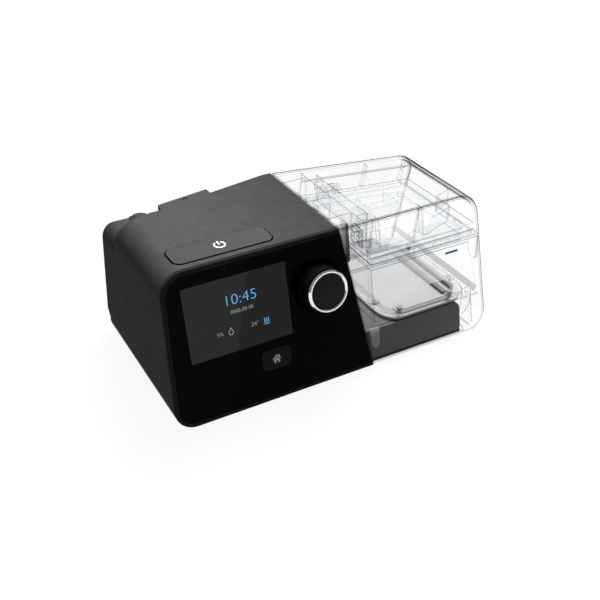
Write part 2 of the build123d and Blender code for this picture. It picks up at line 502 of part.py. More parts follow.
# ----------------------------------------------------------------- water tank
tk_out = prism_y(RIGHT, RIGHT_R, -5, 155) & plan(-1, 112)
skirt_in = prism_y(inset(RIGHT, [TANK_T, TANK_T, TANK_T, -6.0]), shrink(RIGHT_R, TANK_T), -6, 160) & plan(-1, 112, front=TANK_T, rear=TANK_T)
ch_pts = [(CHAMBER_X + 2, FLOOR_Z1), (260.0, FLOOR_Z1), (252.8, 74.5), (252.6, 84), (CHAMBER_X + 2, 84)]
chamber = prism_y(ch_pts, [1.5, 3.0, 0, 0, 0], -6, 160) & plan(-1, 112, front=TANK_T, rear=TANK_T)
below = prism_y([(140, -3), (262.5, -3), (262.5, 16), (260.4, FLOOR_Z0), (140, FLOOR_Z0)], [0, 0, 8.0, 1.2, 0], -6, 160) & skirt_in
below = below + (box(140, -5, -3, 245, 160, 6) & plan(-4, 112, front=TANK_T, rear=TANK_T))
bay = box(130, -5, FLOOR_Z0 - 4, CHAMBER_X, 160, 84) & plan(-1, 112, front=TANK_T, rear=TANK_T)
tank = (tk_out & box(130, -5, 1.0, 270, 160, SEAM_Z - 0.3)) - chamber - below - bay
# rim that the lid closes on
rim_out = plan(-1, 112, front=0.4, rear=0.4) & box(CHAMBER_X, -5, 71.6, 258, 160, SEAM_Z - 0.3)
rim_in = plan(-1, 112, front=TANK_T + 5.5, rear=TANK_T + 4.5) & box(CHAMBER_X + 7, -5, 70, 249.5, 160, 80)
tank = tank + (rim_out & tk_out) - rim_in
# opening for the heat plate
tank = tank - prism_z(rect(181, 14.5, 246, 103.5), 14.0, 20, 40)
# ribs under the right of the floor
tank = tank + (box(251.6, 18.0, 3.0, 262, 19.6, 29) & skirt_in) + (box(251.6, 2, 3.0, 253.2, 30, 29) & skirt_in)
tank = tank + (box(251.6, 96.0, 3.0, 262, 97.6, 29) & skirt_in)
# shallow thumb scoop in the right wall, open at the seam
scoop = prism_x([(18.2, 55.0), (24.0, 51.5), (29.0, 58.0), (29.0, 90.0), (18.2, 90.0)], [4.0, 5.0, 6.0, 0.0, 0.0], 240, 280)
tank = tank - (scoop - prism_y(inset(RIGHT, [0, SCOOP_DEPTH, 0, 0]), 0, -5, 155))
save("tank_shell", tank)
# locating leg behind the front skirt
save("tank_leg", slab([(160.6, 14.0), (164.4, 10.8), (167.4, 14.0), (167.9, 28.5), (159.6, 28.5)], [0.8, 1.2, 0.8, 0, 0], -TANK_T - 1.05, -TANK_T - 0.01))
# hinge knuckles on the tank's rear wall
knuckles = []
for hx in HINGE_X:
    for x0, x1 in ((hx - 9.0, hx - 3.3), (hx + 3.3, hx + 9.0)):
        arm = prism_x([(rear_y(x0 if x0 > APEX_X else APEX_X, 66) - 12.5, 60), (HINGE_Y - 1, 68.0), (HINGE_Y + 2.9, HINGE_Z - 3), (HINGE_Y + 2.9, HINGE_Z), (HINGE_Y - 2.9, HINGE_Z), (HINGE_Y - 2.9, SEAM_Z - 1.5), (rear_y(x0, 74) - 2.0, 74.0), (rear_y(x0, 74) - 12.5, 74.0)], 0, x0, x1)
        arm = arm - plan(-3, 114, front=-6, rear=-0.01)
        arm = arm + cyl(x0, HINGE_Y, HINGE_Z, 3.4, x1 - x0, (1, 0, 0))
        knuckles.append(arm - cyl(x0 - 1, HINGE_Y, HINGE_Z, PIN_R, x1 - x0 + 2, (1, 0, 0)))
save("tank_knuckles", *knuckles)
pins = [cyl(hx - 9.0, HINGE_Y, HINGE_Z, PIN_R, 18.0, (1, 0, 0)) for hx in HINGE_X]
save("hinge_pins", *pins)

hplate = prism_z(rect(176, 10.0, 251, 108.0), 16.0, 26.3, 27.95)
hplate = hplate & plan(-1, 112, front=TANK_T + 1.5, rear=TANK_T + 1.5)
save("heat_plate", hplate)
gas = prism_z(rect(181, 14.5, 246, 103.5), 14.0, 27.98, 31.0) - prism_z(rect(182.6, 16.1, 244.4, 101.9), 12.4, 20, 40)
bar = prism_z(rect(234.4, 20.5, 238.4, 98.0), 1.9, 27.98, 30.4)
save("plate_gasket", gas, bar)
fr = prism_z(rect(172.0, 6.8, 252.2, 112.0), 20.0, 31.05, 33.6) & plan(-1, 112, front=TANK_T + 0.3, rear=TANK_T + 0.3)
for ex, ey in ((188.0, 13.4), (234.7, 13.4), (247.5, 31.0), (176.8, 31.0), (176.8, 86.0), (247.5, 86.0)):
    fr = fr + cyl(ex, ey, 31.05, 4.3, 3.4)
fr = fr - prism_z(rect(180.8, 14.3, 246.2, 103.7), 14.2, 20, 40)
fr = fr & plan(-1, 112, front=TANK_T + 0.3, rear=TANK_T + 0.3)
fr = fr & box(CHAMBER_X + 2.2, 0, 30, 258.8, 150, 40)
FS = ((188.0, 13.4), (234.7, 13.4), (176.8, 86.0), (247.5, 86.0))
for ex, ey in FS:
    fr = fr - cyl(ex, ey, 20, 1.5, 30)
for ex, ey in ((247.5, 31.0), (176.8, 31.0)):
    fr = fr - cyl(ex, ey, 20, 1.9, 30)
save("tank_floor_frame", fr)
save("frame_screws", *[cyl(ex, ey, 34.5, 2.3, 1.2) + cyl(ex, ey, 31.1, 1.4, 3.5) for ex, ey in FS])

# ------------------------------------------------------------------------ lid
ld = tk_out & box(130, -5, SEAM_Z + 0.1, 270, 160, 115)
ld_in = prism_y(inset(RIGHT, CLEAR_T), shrink(RIGHT_R, CLEAR_T), -6, 160) & plan(-1, 112, front=CLEAR_T, rear=CLEAR_T)
# open towards the casing, so the left side has no wall of its own
bay_l = box(130, -5, 70, CHAMBER_X + 3, 160, BODY_H - CLEAR_T) & plan(-1, 112, front=CLEAR_T, rear=CLEAR_T)
main_l = ld_in & box(CHAMBER_X + 2, -5, 70, 262, 160, 112)
ld = ld - bay_l - main_l
# inward flange that carries the gasket
fl = (plan(-1, 112, front=0.4, rear=0.4) & box(CHAMBER_X + 2.02, -5, 80.6, 259, 160, 84.6) & tk_out)
fl = fl - (plan(-1, 112, front=CLEAR_T + 5.0, rear=CLEAR_T + 4.0) & box(CHAMBER_X - 4, -5, 78, 250.5, 160, 90))
ld = ld + fl
# ledge along the rear wall
ld = ld + ((box(CHAMBER_X + 3, 60, 98.6, 258, 140, 99.8) & plan(-1, 112, rear=1.0) & tk_out) - plan(-1, 112, rear=CLEAR_T + 1.6))
save("lid_shell", ld)

# channel insert: two long walls and the cross ribs of the left bay
ZT = BODY_H - CLEAR_T - 0.02
fit = plan(-1, 112, front=CLEAR_T + 0.03, rear=CLEAR_T + 0.03)
fit = fit & prism_y(inset(RIGHT, [0, CLEAR_T + 0.03, CLEAR_T + 0.02, 0]), [0, 0, R_TR - CLEAR_T - 0.02, 0], -6, 160)
part_w = fit & box(CHAMBER_X, -5, SEAM_Z + 0.1, CHAMBER_X + 2, 160, ZT)
for i in range(4):
    part_w = part_w - box(CHAMBER_X - 1, 30.5, 85.6 + 4.0 * i, CHAMBER_X + 3, 42.5, 87.6 + 4.0 * i)
part_w = part_w - box(CHAMBER_X - 1, 94.5, 80.0, CHAMBER_X + 3, 103.5, 88.5)
snout = box(150, 29.0, 84.2, CHAMBER_X + 1, 43.9, 101.0) - box(149, 30.3, 85.5, CHAMBER_X + 1, 42.6, 99.7)
part_w = part_w + (snout & prism_y([(157.2, 72.4), (170, 72.4), (170, 105.4), (154.2, 105.4)], 0, 20, 60).moved(Location((0.35, 0, 0))))
for ry in (44.2, 74.0, 110.6):
    part_w = part_w + (box(130, ry, 86.0, CHAMBER_X + 1, ry + 1.5, ZT) & prism_y(inset(RIGHT, [0, 0, 0, 0.4]), 0, -5, 155))
part_w = part_w + (box(CHAMBER_X + 2, -5, 80.6, CHAMBER_X + 6.5, 160, 84.6) & plan(-1, 112, front=CLEAR_T + 5.03, rear=CLEAR_T + 4.03))
for ry in (38.0, 100.0):
    part_w = part_w + box(CHAMBER_X + 1, ry, ZT - 6.0, 171.5, ry + 1.5, ZT)
part_w = part_w + box(171.0, 37.0, 85.0, 172.5, 111.5, ZT)
q = cyl(CHAMBER_X + 9, 37.0, 84.0, 9.0, ZT - 84.0) - cyl(CHAMBER_X + 9, 37.0, 80, 7.3, 40)
part_w = part_w + (q & box(CHAMBER_X, 28.0, 84.0, CHAMBER_X + 9, 37.0, ZT))
save("lid_channel", part_w)

# stiffening ribs on the front and rear walls
ribs = []
for rx in (173.2, 211.0):
    ribs.append((box(rx, 10, 86.5, rx + 1.5, 60, ZT) & fit) - plan(-1, 112, front=CLEAR_T + 6.5))
ribs.append(slab([(203.0, 89.2), (204.4, 89.2), (210.2, 110.0), (208.8, 110.0)], 0, -CLEAR_T - 3.0, -CLEAR_T - 0.03) & box(100, -5, 0, 300, 100, ZT))
for rx in (214.5, 247.5):
    ribs.append((box(rx, 60, 86.5, rx + 1.5, 140, 98.5) & fit) - plan(-1, 112, rear=CLEAR_T + 5.0))
    ribs.append((box(rx, 60, 99.9, rx + 1.5, 140, ZT) & fit) - plan(-1, 112, rear=CLEAR_T + 5.0))
# stepped baffle at the front right: a web off the front wall, a short length to the rear, a web to the right wall
ribs.append(prism_z([(213.4, 22.0), (214.0, 20.3), (242.0, 30.7), (242.0, 32.2)], 0, 86.5, 99.4) & fit)
ribs.append(prism_z([(241.2, 32.5), (242.7, 32.5), (242.7, 47.6), (241.2, 47.6)], 0, 86.5, 99.4) & fit)
ribs.append(prism_z([(241.4, 49.4), (241.4, 47.8), (264.0, 55.5), (264.0, 57.1)], 0, 86.5, 100.2) & fit)
save("lid_ribs", *ribs)

# hinge knuckles on the lid's rear wall
knuckles = []
for hx in HINGE_X:
    x0, x1 = hx - 2.9, hx + 2.9
    arm = prism_x([(110, 84.0), (HINGE_Y - 1.0, 84.0), (HINGE_Y + 2.8, HINGE_Z + 1.5), (HINGE_Y + 2.8, HINGE_Z), (HINGE_Y - 3.2, HINGE_Z - 0.5), (HINGE_Y - 3.2, HINGE_Z), (HINGE_Y - 6.0, 79.2), (110, 79.2)], 0, x0, x1)
    arm = arm - plan(-3, 114, front=-6, rear=-0.01)
    arm = arm + cyl(x0, HINGE_Y, HINGE_Z, 3.4, x1 - x0, (1, 0, 0))
    knuckles.append(arm - cyl(x0 - 1, HINGE_Y, HINGE_Z, PIN_R + 0.06, x1 - x0 + 2, (1, 0, 0)))
save("lid_knuckles", *knuckles)

gk = (plan(-1, 112, front=CLEAR_T + 0.6, rear=CLEAR_T + 0.6) & box(CHAMBER_X + 2.4, -5, 76.6, 257.0, 160, 80.55))
gk = gk & prism_y(inset(RIGHT, CLEAR_T + 0.5), shrink(RIGHT_R, CLEAR_T), -6, 160)
gk = gk - (plan(-1, 112, front=CLEAR_T + 4.6, rear=CLEAR_T + 4.0) & box(CHAMBER_X + 6.5, -5, 70, 250.5, 160, 90))
for z in (77.6, 79.2):
    gk = gk - ((plan(-1, 112, front=CLEAR_T - 0.5, rear=CLEAR_T + 3) - plan(-1, 112, front=CLEAR_T + 1.2, rear=CLEAR_T + 3)) & box(150, -5, z, 258, 60, z + 0.7))
save("lid_gasket", gk)

tr = prism_z([(174.0, 30.0), (249.0, 30.0), (249.0, 106.5), (174.0, 116.5)], [3.0, 3.0, 3.0, 3.0], 84.7, 86.3) & plan(-1, 112, front=CLEAR_T + 3.2, rear=CLEAR_T + 2.4)
tr = tr - box(191.6, 61.6, 80, 215.4, 82.4, 90)
tr = tr + (box(190.0, 60.0, 84.7, 217.0, 84.0, 96.0) - box(191.6, 61.6, 80, 215.4, 82.4, 100))
tr = tr + (box(188.0, 34.0, 62.0, 237.0, 87.0, 84.8) - box(189.2, 35.2, 60, 235.8, 85.8, 90))
tr = tr - box(200.0, 30, 66, 214.0, 40, 74) - box(219.0, 30, 66, 232.0, 40, 74)
save("lid_tray", tr)

# ------------------------------------------------------------- feet, screws
FEET = [(30.0, 20.0), (30.0, 120.0), (230.0, 20.0), (230.0, 120.0)]
save("rubber_feet", *[cyl(fx, fy, -FOOT_H, 7.0, FOOT_H) for fx, fy in FEET])
save("housing_screws", *[cyl(px, py, 0.2, 2.6, 1.6) + cyl(px, py, 1.7, 1.15, 20.0) for px, py in POSTS])
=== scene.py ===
import bpy
import bmesh
import math
from mathutils import Matrix, Vector


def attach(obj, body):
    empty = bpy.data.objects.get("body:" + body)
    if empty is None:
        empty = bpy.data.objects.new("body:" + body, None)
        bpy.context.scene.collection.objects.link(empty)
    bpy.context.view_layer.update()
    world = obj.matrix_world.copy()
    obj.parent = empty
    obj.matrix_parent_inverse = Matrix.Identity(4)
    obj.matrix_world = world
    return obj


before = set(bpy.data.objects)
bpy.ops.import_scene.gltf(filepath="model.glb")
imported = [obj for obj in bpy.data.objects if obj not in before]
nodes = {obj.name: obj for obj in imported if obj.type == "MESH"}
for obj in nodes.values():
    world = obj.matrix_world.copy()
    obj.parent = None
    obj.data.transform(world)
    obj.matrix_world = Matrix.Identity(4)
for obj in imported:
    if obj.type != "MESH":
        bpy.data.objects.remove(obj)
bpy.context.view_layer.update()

scene = bpy.context.scene

# ------------------------------------------------------------------ geometry
# Millimetres in the machine's own modelling axes: x to the right from the
# lower left front corner, y to the rear, z up from the casing's underside.
WIDTH, ORIGIN_Y, FOOT_H = 265.0, 73.215, 2.0
BODY_H, LEAN = 110.2, 24.23
LEN = math.hypot(BODY_H, LEAN)
SY, SZ = LEAN / LEN, BODY_H / LEN
NY, NZ = -SZ, SY


def P(x, y, z):
    return Vector(((x - WIDTH / 2) / 1000, (y - ORIGIN_Y) / 1000, (z + FOOT_H) / 1000))


def front(x, t, off=0.0):
    return P(x, t * SY + off * NY, t * SZ + off * NZ)


def top(z):
    return lambda x, y, o=0.0: P(x, y, z + o)


# ----------------------------------------------------------------- materials
def new_mat(name):
    m = bpy.data.materials.new(name)
    m.use_nodes = True
    nt = m.node_tree
    for n in list(nt.nodes):
        nt.nodes.remove(n)
    out = nt.nodes.new("ShaderNodeOutputMaterial")
    b = nt.nodes.new("ShaderNodeBsdfPrincipled")
    nt.links.new(b.outputs[0], out.inputs[0])
    tc = nt.nodes.new("ShaderNodeTexCoord")
    return m, nt, b, tc


def noise(nt, tc, scale, detail=3.0, rough=0.55, stretch=None):
    n = nt.nodes.new("ShaderNodeTexNoise")
    n.inputs["Scale"].default_value = scale
    n.inputs["Detail"].default_value = detail
    n.inputs["Roughness"].default_value = rough
    src = tc.outputs["Object"]
    if stretch:
        mp = nt.nodes.new("ShaderNodeMapping")
        mp.inputs["Scale"].default_value = stretch
        nt.links.new(src, mp.inputs["Vector"])
        src = mp.outputs["Vector"]
    nt.links.new(src, n.inputs["Vector"])
    return n.outputs["Fac"]


def remap(nt, fac, a, b, lo=0.3, hi=0.7):
    m = nt.nodes.new("ShaderNodeMapRange")
    m.inputs["From Min"].default_value = lo
    m.inputs["From Max"].default_value = hi
    m.inputs["To Min"].default_value = a
    m.inputs["To Max"].default_value = b
    nt.links.new(fac, m.inputs["Value"])
    return m.outputs["Result"]


def mix_col(nt, fac, c0, c1):
    m = nt.nodes.new("ShaderNodeMix")
    m.data_type = "RGBA"
    m.inputs[6].default_value = (*c0, 1)
    m.inputs[7].default_value = (*c1, 1)
    nt.links.new(fac, m.inputs[0])
    return m.outputs[2]


def mix_two(nt, fac, s0, s1):
    m = nt.nodes.new("ShaderNodeMix")
    m.data_type = "RGBA"
    nt.links.new(s0, m.inputs[6])
    nt.links.new(s1, m.inputs[7])
    nt.links.new(fac, m.inputs[0])
    return m.outputs[2]


def bump(nt, b, fac, strength, dist):
    n = nt.nodes.new("ShaderNodeBump")
    n.inputs["Strength"].default_value = strength
    n.inputs["Distance"].default_value = dist
    nt.links.new(fac, n.inputs["Height"])
    nt.links.new(n.outputs["Normal"], b.inputs["Normal"])
    return n


def edge_wear(nt, lo=0.52, hi=0.60):
    g = nt.nodes.new("ShaderNodeNewGeometry")
    return remap(nt, g.outputs["Pointiness"], 0.0, 1.0, lo, hi)


def math_node(nt, op, a, b=None, c=None, clamp=False):
    n = nt.nodes.new("ShaderNodeMath")
    n.operation = op
    n.use_clamp = clamp
    for i, v in enumerate((a, b, c)):
        if v is None:
            continue
        if isinstance(v, (int, float)):
            n.inputs[i].default_value = v
        else:
            nt.links.new(v, n.inputs[i])
    return n.outputs[0]


def times(nt, col, fac):
    x = nt.nodes.new("ShaderNodeMix")
    x.data_type = "RGBA"
    x.inputs[6].default_value = (0, 0, 0, 1)
    nt.links.new(col, x.inputs[7])
    nt.links.new(fac, x.inputs[0])
    return x.outputs[2]


def rounded_box_depth(nt, x, y, x0, y0, x1, y1, r):
    """How far inside a rounded rectangle a point is, in mm."""
    q = []
    for v, a, b in ((x, x0, x1), (y, y0, y1)):
        d = math_node(nt, "ABSOLUTE", math_node(nt, "SUBTRACT", v, (a + b) / 2))
        q.append(math_node(nt, "SUBTRACT", d, (b - a) / 2 - r))
    m = [math_node(nt, "MAXIMUM", v, 0.0) for v in q]
    far = math_node(nt, "SQRT", math_node(nt, "ADD", math_node(nt, "MULTIPLY", m[0], m[0]), math_node(nt, "MULTIPLY", m[1], m[1])))
    inn = math_node(nt, "MINIMUM", math_node(nt, "MAXIMUM", q[0], q[1]), 0.0)
    return math_node(nt, "SUBTRACT", r, math_node(nt, "ADD", far, inn))


def casing_painted_shade(nt, tc, c):
    """Painted shade: left-facing skin a little darker, top fading to the right, black inside the power button's
    pocket.
    """
    pos = nt.nodes.new("ShaderNodeSeparateXYZ")
    nt.links.new(tc.outputs["Object"], pos.inputs[0])
    nrm = nt.nodes.new("ShaderNodeSeparateXYZ")
    nt.links.new(tc.outputs["Normal"], nrm.inputs[0])
    # painted shade: darker where the skin faces left
    c = times(nt, c, remap(nt, nrm.outputs["X"], 0.66, 1.0, -0.90, -0.10))
    # painted shade: darker towards the right
    c = times(nt, c, remap(nt, pos.outputs["X"], 1.0, 0.66, -0.070, 0.010))
    z = math_node(nt, "MULTIPLY_ADD", pos.outputs["Z"], 1000.0, -FOOT_H)
    x = math_node(nt, "MULTIPLY_ADD", pos.outputs["X"], 1000.0, WIDTH / 2)
    y = math_node(nt, "MULTIPLY_ADD", pos.outputs["Y"], 1000.0, ORIGIN_Y)
    # painted shade: black inside the power button's pocket
    d = rounded_box_depth(nt, x, y, 20.0, 31.9, 94.2, 54.7, 6.6)
    k = math_node(nt, "MULTIPLY", remap(nt, d, 0.0, 1.0, -0.42, -0.28), remap(nt, z, 0.0, 1.0, BODY_H - 8, BODY_H - 7))
    return times(nt, c, math_node(nt, "SUBTRACT", 1.0, k))


def button_gap_painted_shade(nt, tc, c):
    """Painted shade: side walls of a button, down in its gap, fall to black."""
    nrm = nt.nodes.new("ShaderNodeSeparateXYZ")
    nt.links.new(tc.outputs["Normal"], nrm.inputs[0])
    return times(nt, c, remap(nt, nrm.outputs["Z"], 0.05, 1.0, 0.05, 0.35))


def plastic(name, col, rough, spec=0.5, grain=2600.0, grain_h=0.00003, var=0.18, wear=0.25, coat=0.0, strength=0.35, painted_shade=None):
    m, nt, b, tc = new_mat(name)
    blot = noise(nt, tc, 34.0, 4.0, 0.6)
    dark = tuple(c * (1 - var) for c in col)
    lite = tuple(min(c * (1 + var), 1) for c in col)
    c = mix_col(nt, remap(nt, blot, 0, 1), dark, lite)
    if wear:
        worn = tuple(min(x * 1.5 + 0.012, 1) for x in col)
        wn = nt.nodes.new("ShaderNodeMath")
        wn.operation = "MULTIPLY"
        nt.links.new(edge_wear(nt), wn.inputs[0])
        nt.links.new(remap(nt, noise(nt, tc, 180.0, 5.0), 0.0, wear), wn.inputs[1])
        k = nt.nodes.new("ShaderNodeMix")
        k.data_type = "RGBA"
        k.inputs[7].default_value = (*worn, 1)
        nt.links.new(c, k.inputs[6])
        nt.links.new(wn.outputs[0], k.inputs[0])
        c = k.outputs[2]
    # painted shade laid over the base colour by the given function
    if painted_shade:
        c = painted_shade(nt, tc, c)
    nt.links.new(c, b.inputs["Base Color"])
    nt.links.new(remap(nt, noise(nt, tc, 90.0, 4.0), rough - 0.05, rough + 0.06), b.inputs["Roughness"])
    b.inputs["Specular IOR Level"].default_value = spec
    b.inputs["Coat Weight"].default_value = coat
    if strength:
        bump(nt, b, noise(nt, tc, grain, 2.0, 0.5), strength, grain_h)
    return m


def outline_painted_shade(nt, tc):
    """Painted shade: 1 on two thin bands that follow the clear half's outline on its front and top, where the wall
    behind is seen edge on.
    """
    pos = nt.nodes.new("ShaderNodeSeparateXYZ")
    nt.links.new(tc.outputs["Object"], pos.inputs[0])
    nrm = nt.nodes.new("ShaderNodeSeparateXYZ")
    nt.links.new(tc.outputs["Normal"], nrm.inputs[0])
    z = math_node(nt, "MULTIPLY_ADD", pos.outputs["Z"], 1000.0, -FOOT_H)
    x = math_node(nt, "MULTIPLY_ADD", pos.outputs["X"], 1000.0, WIDTH / 2)
    y = math_node(nt, "MULTIPLY_ADD", pos.outputs["Y"], 1000.0, ORIGIN_Y)
    qx = math_node(nt, "SUBTRACT", math_node(nt, "MULTIPLY_ADD", z, 5.0 / BODY_H, x), WIDTH - 17.0)
    qz = math_node(nt, "SUBTRACT", math_node(nt, "ABSOLUTE", math_node(nt, "SUBTRACT", z, BODY_H / 2)), BODY_H / 2 - 17.0)
    mx = math_node(nt, "MAXIMUM", qx, 0.0)
    mz = math_node(nt, "MAXIMUM", qz, 0.0)
    far = math_node(nt, "SQRT", math_node(nt, "ADD", math_node(nt, "MULTIPLY", mx, mx), math_node(nt, "MULTIPLY", mz, mz)))
    inn = math_node(nt, "MINIMUM", math_node(nt, "MAXIMUM", qx, qz), 0.0)
    depth = math_node(nt, "SUBTRACT", 17.0, math_node(nt, "ADD", far, inn))
    outer = remap(nt, depth, 1.0, 0.0, 1.1, 1.5)
    inner = remap(nt, math_node(nt, "ABSOLUTE", math_node(nt, "SUBTRACT", depth, 2.4)), 0.55, 0.0, 0.3, 0.5)
    front_face = remap(nt, nrm.outputs["Y"], 1.0, 0.0, -0.92, -0.85)
    f = math_node(nt, "MULTIPLY", front_face, math_node(nt, "MAXIMUM", outer, inner))
    rear_edge = math_node(nt, "SUBTRACT", math_node(nt, "MULTIPLY_ADD", x, -0.1857, 152.0), y)
    t = math_node(nt, "MINIMUM", rear_edge, math_node(nt, "SUBTRACT", y, LEAN))
    t = remap(nt, t, 1.0, 0.0, 0.8, 1.1)
    t = math_node(nt, "MULTIPLY", t, remap(nt, nrm.outputs["Z"], 0.0, 1.0, 0.93, 0.97))
    t = math_node(nt, "MULTIPLY", t, remap(nt, z, 0.0, 0.7, 100.0, 102.0))
    return math_node(nt, "MAXIMUM", f, t)


def clear(name, tint=(0.996, 0.997, 0.9975), grazing=(0.34, 0.35, 0.36), rough=0.03, gloss=0.06,
          haze=0.0, haze_col=(0.85, 0.86, 0.87), band=(0.62, 0.86), corner=None, outline=None):
    """Thin clear plastic: looks through, greys where it is seen edge on.
    corner paints shade on the rounded long edge between the top and the right side, most at the rear; outline paints
    shade bands along the clear half's outline."""
    m = bpy.data.materials.new(name)
    m.use_nodes = True
    nt = m.node_tree
    for n in list(nt.nodes):
        nt.nodes.remove(n)
    out = nt.nodes.new("ShaderNodeOutputMaterial")
    tc = nt.nodes.new("ShaderNodeTexCoord")
    lw = nt.nodes.new("ShaderNodeLayerWeight")
    lw.inputs["Blend"].default_value = 0.5

    def blend(fac, s0, s1):
        x = nt.nodes.new("ShaderNodeMix")
        x.data_type = "RGBA"
        nt.links.new(fac, x.inputs[0])
        for i, v in ((6, s0), (7, s1)):
            if isinstance(v, tuple):
                x.inputs[i].default_value = (*v, 1)
            else:
                nt.links.new(v, x.inputs[i])
        return x.outputs[2]

    col = mix_col(nt, remap(nt, noise(nt, tc, 22.0, 3.0), 0, 1), tuple(x * 0.997 for x in tint), tint)
    col = blend(remap(nt, lw.outputs["Facing"], 0.0, 1.0, *band), col, grazing)
    # painted shade on the long rounded edge between the top and the right side, most at the rear
    if corner:
        sep = nt.nodes.new("ShaderNodeSeparateXYZ")
        nt.links.new(tc.outputs["Normal"], sep.inputs[0])
        pos = nt.nodes.new("ShaderNodeSeparateXYZ")
        nt.links.new(tc.outputs["Object"], pos.inputs[0])
        k = math_node(nt, "MULTIPLY", math_node(nt, "ABSOLUTE", sep.outputs["X"]), math_node(nt, "ABSOLUTE", sep.outputs["Z"]))
        k = remap(nt, k, 0.0, 1.0, 0.24, 0.34)
        k = math_node(nt, "MULTIPLY", k, remap(nt, lw.outputs["Facing"], 0.0, 1.0, 0.62, 0.82))
        k = math_node(nt, "MULTIPLY", k, remap(nt, pos.outputs["Z"], 0.0, 1.0, 0.085, 0.095))
        k = math_node(nt, "MULTIPLY", k, remap(nt, pos.outputs["Y"], 0.30, 1.0, -0.045, 0.020))
        col = blend(k, col, corner)
    # painted shade on bands along the clear half's outline
    if outline:
        col = blend(outline_painted_shade(nt, tc), col, outline)
    tr = nt.nodes.new("ShaderNodeBsdfTransparent")
    nt.links.new(col, tr.inputs["Color"])
    last = tr.outputs[0]
    if haze:
        df = nt.nodes.new("ShaderNodeBsdfDiffuse")
        df.inputs["Color"].default_value = (*haze_col, 1)
        tl = nt.nodes.new("ShaderNodeBsdfTranslucent")
        tl.inputs["Color"].default_value = (*haze_col, 1)
        b = nt.nodes.new("ShaderNodeMixShader")
        b.inputs[0].default_value = 0.5
        nt.links.new(df.outputs[0], b.inputs[1])
        nt.links.new(tl.outputs[0], b.inputs[2])
        mh = nt.nodes.new("ShaderNodeMixShader")
        nt.links.new(remap(nt, noise(nt, tc, 70.0, 3.0), haze * 0.9, haze * 1.1), mh.inputs[0])
        nt.links.new(last, mh.inputs[1])
        nt.links.new(b.outputs[0], mh.inputs[2])
        last = mh.outputs[0]
    gl = nt.nodes.new("ShaderNodeBsdfGlossy")
    nt.links.new(remap(nt, noise(nt, tc, 55.0, 3.0), rough * 0.6, rough * 1.6), gl.inputs["Roughness"])
    fr = nt.nodes.new("ShaderNodeFresnel")
    fr.inputs["IOR"].default_value = 1.45
    mg = nt.nodes.new("ShaderNodeMixShader")
    nt.links.new(math_node(nt, "MULTIPLY", fr.outputs[0], gloss, clamp=True), mg.inputs[0])
    nt.links.new(last, mg.inputs[1])
    nt.links.new(gl.outputs[0], mg.inputs[2])
    bump(nt, gl, noise(nt, tc, 30.0, 2.0, 0.4), 0.05, 0.0002)
    nt.links.new(mg.outputs[0], out.inputs[0])
    return m


def metal(name, col, rough, grain=(1, 1, 1), gscale=900.0, strength=0.1, var=0.06, metallic=1.0):
    m, nt, b, tc = new_mat(name)
    g = noise(nt, tc, gscale, 4.0, 0.6, grain)
    c = mix_col(nt, remap(nt, noise(nt, tc, 40.0, 3.0), 0, 1), tuple(x * (1 - var) for x in col), col)
    nt.links.new(c, b.inputs["Base Color"])
    nt.links.new(remap(nt, g, max(rough - 0.05, 0.02), rough + 0.06), b.inputs["Roughness"])
    b.inputs["Metallic"].default_value = metallic
    if strength:
        bump(nt, b, g, strength, 0.00002)
    return m


def gloss_black(name, col=(0.0018, 0.0018, 0.0019), rough=0.06, spec=0.02, var=0.15):
    m, nt, b, tc = new_mat(name)
    c = mix_col(nt, remap(nt, noise(nt, tc, 12.0, 2.0), 0, 1), tuple(x * (1 - var) for x in col), tuple(x * (1 + var) for x in col))
    pos = nt.nodes.new("ShaderNodeSeparateXYZ")
    nt.links.new(tc.outputs["Object"], pos.inputs[0])
    # painted reflection: darker to the right of a slanted line across the glass
    painted_reflection_line = math_node(nt, "MULTIPLY_ADD", pos.outputs["Z"], -0.271, pos.outputs["X"])
    c = times(nt, c, remap(nt, painted_reflection_line, 1.0, 0.50, -0.0932, -0.0905))
    nt.links.new(c, b.inputs["Base Color"])
    nt.links.new(remap(nt, noise(nt, tc, 70.0, 4.0), rough * 0.8, rough * 1.5), b.inputs["Roughness"])
    b.inputs["Specular IOR Level"].default_value = spec
    bump(nt, b, noise(nt, tc, 18.0, 2.0, 0.4), 0.02, 0.0002)
    return m


def shaded(name, low, high, z0, z1, rough):
    """Soft rubber whose grey runs from low to high between two heights."""
    m, nt, b, tc = new_mat(name)
    pos = nt.nodes.new("ShaderNodeSeparateXYZ")
    nt.links.new(tc.outputs["Object"], pos.inputs[0])
    c = mix_col(nt, remap(nt, pos.outputs["Z"], 0.0, 1.0, z0, z1), low, high)
    spk = mix_col(nt, remap(nt, noise(nt, tc, 120.0, 3.0), 0, 1), (0.94, 0.94, 0.94), (1, 1, 1))
    x = nt.nodes.new("ShaderNodeMix")
    x.data_type = "RGBA"
    x.blend_type = "MULTIPLY"
    x.inputs[0].default_value = 1.0
    nt.links.new(c, x.inputs[6])
    nt.links.new(spk, x.inputs[7])
    nt.links.new(x.outputs[2], b.inputs["Base Color"])
    nt.links.new(remap(nt, noise(nt, tc, 90.0, 4.0), rough - 0.05, rough + 0.06), b.inputs["Roughness"])
    b.inputs["Specular IOR Level"].default_value = 0.1
    bump(nt, b, noise(nt, tc, 700.0, 2.0, 0.5), 0.2, 0.00003)
    return m


